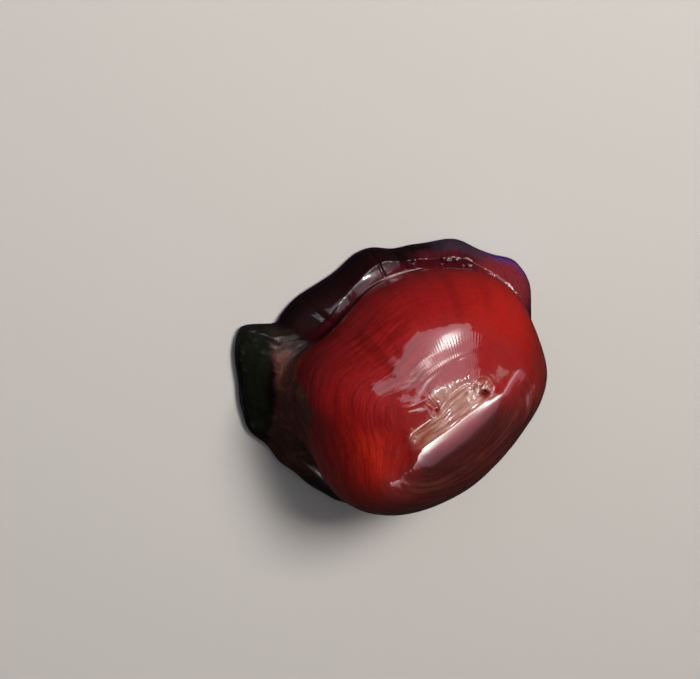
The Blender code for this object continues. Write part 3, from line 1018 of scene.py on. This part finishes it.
def flesh_material():
    """Wet flesh: deep colour under a clear, very smooth film of water, with fine lines that run
    round the body."""
    made = bpy.data.materials.new("wet_flesh")
    made.use_nodes = True
    tree = made.node_tree
    shader = tree.nodes["Principled BSDF"]
    link = tree.links.new
    place = node(tree, "TexCoord").outputs["Object"]
    flow = node(tree, "Attribute", attribute_name="flow").outputs["Vector"]
    tint = node(tree, "Attribute", attribute_name="tint")
    grain = node(tree, "Attribute", attribute_name="grain")
    amounts = node(tree, "SeparateColor")
    link(grain.outputs["Color"], amounts.inputs["Color"])

    lines = ranged(tree, drawn_noise(tree, flow, *LINES), 0.35, 0.65, -0.34, 0.34)
    lines = product(tree, lines, amounts.outputs["Red"])
    specks = noise_on(tree, place, Scale=2600.0, Detail=4.0, Roughness=0.6).outputs["Fac"]
    mottle = ranged(tree, specks, 0.3, 0.7, -0.30, 0.30)
    mottle = product(tree, mottle, amounts.outputs["Blue"])
    shade = combined(tree, "Math", "ADD", lines, mottle)
    shade = combined(tree, "Math", "ADD", shade, 1.0)
    colour = combined(tree, "VectorMath", "MULTIPLY", tint.outputs["Color"], shade)
    threads = ranged(tree, drawn_noise(tree, flow, *THREADS), 0.46, 0.60, 0.0, 0.70)
    threads = product(tree, threads, amounts.outputs["Green"])
    colour = painted_over(tree, threads, colour, STREAK_BROWN)
    veins = product(tree, vein_lines(tree, flow), grain.outputs["Alpha"])
    link(painted_over(tree, veins, colour, BROWN_LIGHT), shader.inputs["Base Color"])

    blotches = noise_on(tree, place, Scale=420.0, Detail=3.0).outputs["Fac"]
    link(ranged(tree, blotches, 0.3, 0.7, 0.34, 0.48), shader.inputs["Roughness"])
    link(bumped(tree, specks, 0.35, 0.00005), shader.inputs["Normal"])
    ripples = drawn_noise(tree, flow, *FILM_RIPPLES)
    link(bumped(tree, ripples, 0.5, 0.000006), shader.inputs["Coat Normal"])
    link(tint.outputs["Alpha"], shader.inputs["Coat Weight"])
    for name, value in FLESH.items():
        shader.inputs[name].default_value = value
    return made


def plain_material(name, colour, roughness):
    made = bpy.data.materials.new(name)
    made.use_nodes = True
    shader = made.node_tree.nodes["Principled BSDF"]
    shader.inputs["Base Color"].default_value = (*colour, 1.0)
    shader.inputs["Roughness"].default_value = roughness
    return made


def make_floor():
    """The plain pale floor, which doesn't show in the skin's reflections."""
    mesh = bpy.data.meshes.new("floor")
    half = FLOOR_SIZE / 2
    corners = [(-half, -half, 0), (half, -half, 0), (half, half, 0), (-half, half, 0)]
    mesh.from_pydata(corners, [], [(0, 1, 2, 3)])
    mesh.materials.append(plain_material("pale_floor", FLOOR_COLOUR, 0.9))
    floor = shown(mesh)
    floor.visible_glossy = False


def view_axes():
    """Right, up and backward directions of the camera, before it is turned to frame the animal
    off centre."""
    around, tilt = np.radians(VIEW_AZIMUTH), np.radians(VIEW_ELEVATION)
    roll = np.radians(VIEW_ROLL)
    back = np.array([np.sin(around) * np.cos(tilt), -np.cos(around) * np.cos(tilt), np.sin(tilt)])
    level = np.array([np.cos(around), np.sin(around), 0.0])
    upright = np.cross(back, level)
    right = np.cos(roll) * level - np.sin(roll) * upright
    up = np.sin(roll) * level + np.cos(roll) * upright
    return right, up, back


def placed(obj, columns, place):
    """Puts an object at a place in metres with its axes along the three columns."""
    matrix = np.eye(4)
    matrix[:3, :3] = np.stack(columns, axis=1)
    matrix[:3, 3] = place
    obj.matrix_world = Matrix(matrix.tolist())
    bpy.context.scene.collection.objects.link(obj)


def make_camera(aim):
    """The camera is turned so that the aim point falls on its pixel of the photograph's frame."""
    right, up, back = view_axes()
    across = (AIM_PIXEL[0] - FRAME_WIDE / 2) / FOCAL_PIXELS
    down = (AIM_PIXEL[1] - FRAME_HIGH / 2) / FOCAL_PIXELS
    seen = np.array([across, -down, -1.0])
    seen /= np.linalg.norm(seen)
    straight = np.array([0.0, 0.0, -1.0])
    axis = np.cross(straight, seen)
    sine = np.linalg.norm(axis)
    axis /= sine
    cross = np.array([[0, -axis[2], axis[1]], [axis[2], 0, -axis[0]], [-axis[1], axis[0], 0]])
    turn = np.eye(3) + sine * cross + (1 - straight @ seen) * cross @ cross
    data = bpy.data.cameras.new("camera")
    data.sensor_width = SENSOR
    data.sensor_fit = "HORIZONTAL"
    data.lens = FOCAL_PIXELS * SENSOR / FRAME_WIDE
    data.clip_start = 0.01
    camera = bpy.data.objects.new("camera", data)
    placed(camera, turn @ np.stack([right, up, back]), aim + back * VIEW_DISTANCE)
    bpy.context.scene.camera = camera


def make_lamp(name, aim, away, distance, size, across, glow):
    """A flat lamp that faces the aim point from a direction. glow is how bright its face looks."""
    away = np.array(away) / np.linalg.norm(away)
    across = np.array(across) - away * np.dot(across, away)
    across /= np.linalg.norm(across)
    data = bpy.data.lights.new(name, "AREA")
    data.shape = "RECTANGLE"
    data.size, data.size_y = size
    peak = max(glow)
    data.color = [part / peak for part in glow]
    data.energy = peak * np.pi * size[0] * size[1]
    lamp = bpy.data.objects.new(name, data)
    placed(lamp, (across, np.cross(away, across), away), aim + away * distance)
    lamp.visible_camera = False
    lamp.visible_glossy = False


def make_lights(aim):
    right, up, back = view_axes()
    for name, (side, high, near), distance, size, glow in LAMPS:
        away = side * right + high * up + near * back
        make_lamp(name, aim, away, distance, size, right, glow)
    world = bpy.data.worlds.new("studio")
    world.use_nodes = True
    world.node_tree.nodes["Background"].inputs["Color"].default_value = (*WORLD_GREY, 1.0)
    bpy.context.scene.world = world


def card_grid():
    """Degrees east and north of straight up at each point of the card, with its sides torn."""
    table = np.array(CARD_ROWS)
    rows = np.arange(table[0, 0], table[-1, 0] + CARD_STEP / 2, CARD_STEP)
    west, east = (np.interp(rows, table[:, 0], table[:, end]) for end in (1, 2))
    torn = np.random.default_rng(CARD_SEED).normal(0.0, CARD_TORN, (2, len(rows)))
    torn = (torn + np.roll(torn, 1, axis=1)) / np.sqrt(2)
    west, east = west + torn[0], east + torn[1]
    share = np.linspace(0.0, 1.0, CARD_COLUMNS)
    across = west[:, None] * (1 - share) + east[:, None] * share
    return across, rows[:, None] + 0 * across


def card_glow(east, north):
    """How bright the card is at each point, as red, green and blue."""
    glow = np.zeros(east.shape)
    for x, y, long, wide, bright in CARD_SPOTS:
        glow += bright * spot(np.stack([east, north], axis=-1), x, y, long, wide)
    table = np.array(CARD_LIGHT)
    own = [np.interp(north, table[:, 0], table[:, part]) for part in (1, 2, 3)]
    return np.maximum(glow[..., None] * SPOT_COLOUR + np.stack(own, axis=-1), 0.0)


def card_material():
    made = bpy.data.materials.new("bright_card")
    made.use_nodes = True
    tree = made.node_tree
    tree.nodes.clear()
    glow = node(tree, "Attribute", attribute_name="glow")
    shine = node(tree, "Emission")
    surface = node(tree, "OutputMaterial").inputs["Surface"]
    tree.links.new(glow.outputs["Color"], shine.inputs["Color"])
    tree.links.new(shine.outputs["Emission"], surface)
    return made


def make_card(aim):
    """A bright card round the animal, seen only in the wet skin's reflections."""
    east, north = card_grid()
    tilt = np.hypot(east, north)
    flat = np.sin(np.radians(tilt)) / np.maximum(tilt, 1e-6)
    away = np.stack([east * flat, north * flat, np.cos(np.radians(tilt))], axis=-1)
    points = (aim + away * CARD_DISTANCE).reshape(-1, 3)
    high, wide = east.shape
    low = (np.arange(high - 1) * wide)[:, None] + np.arange(wide - 1)
    faces = np.stack([low, low + 1, low + wide + 1, low + wide], axis=-1).reshape(-1, 4)
    mesh = bpy.data.meshes.new("bright_card")
    mesh.from_pydata(points.tolist(), [], faces.tolist())
    glow = np.ones((len(points), 4))
    glow[:, :3] = card_glow(east, north).reshape(-1, 3)
    layer = mesh.color_attributes.new("glow", "FLOAT_COLOR", "POINT")
    layer.data.foreach_set("color", glow.ravel())
    mesh.materials.append(card_material())
    card = shown(mesh)
    card.visible_camera = False
    card.visible_diffuse = False
    card.visible_shadow = False


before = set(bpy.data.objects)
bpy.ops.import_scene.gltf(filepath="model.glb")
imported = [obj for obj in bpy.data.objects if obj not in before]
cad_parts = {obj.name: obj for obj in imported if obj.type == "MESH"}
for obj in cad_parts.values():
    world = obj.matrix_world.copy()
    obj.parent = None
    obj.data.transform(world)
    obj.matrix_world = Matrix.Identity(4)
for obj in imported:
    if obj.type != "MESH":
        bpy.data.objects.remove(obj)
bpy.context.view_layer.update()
skin = make_skin()
skin.data.materials.append(flesh_material())
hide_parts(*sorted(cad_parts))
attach(skin, "root")
make_floor()
target = (np.array(AIM) + ORIGIN) * MM
make_camera(target)
make_lights(target)
make_card(target)
bpy.context.scene.view_settings.view_transform = "Standard"
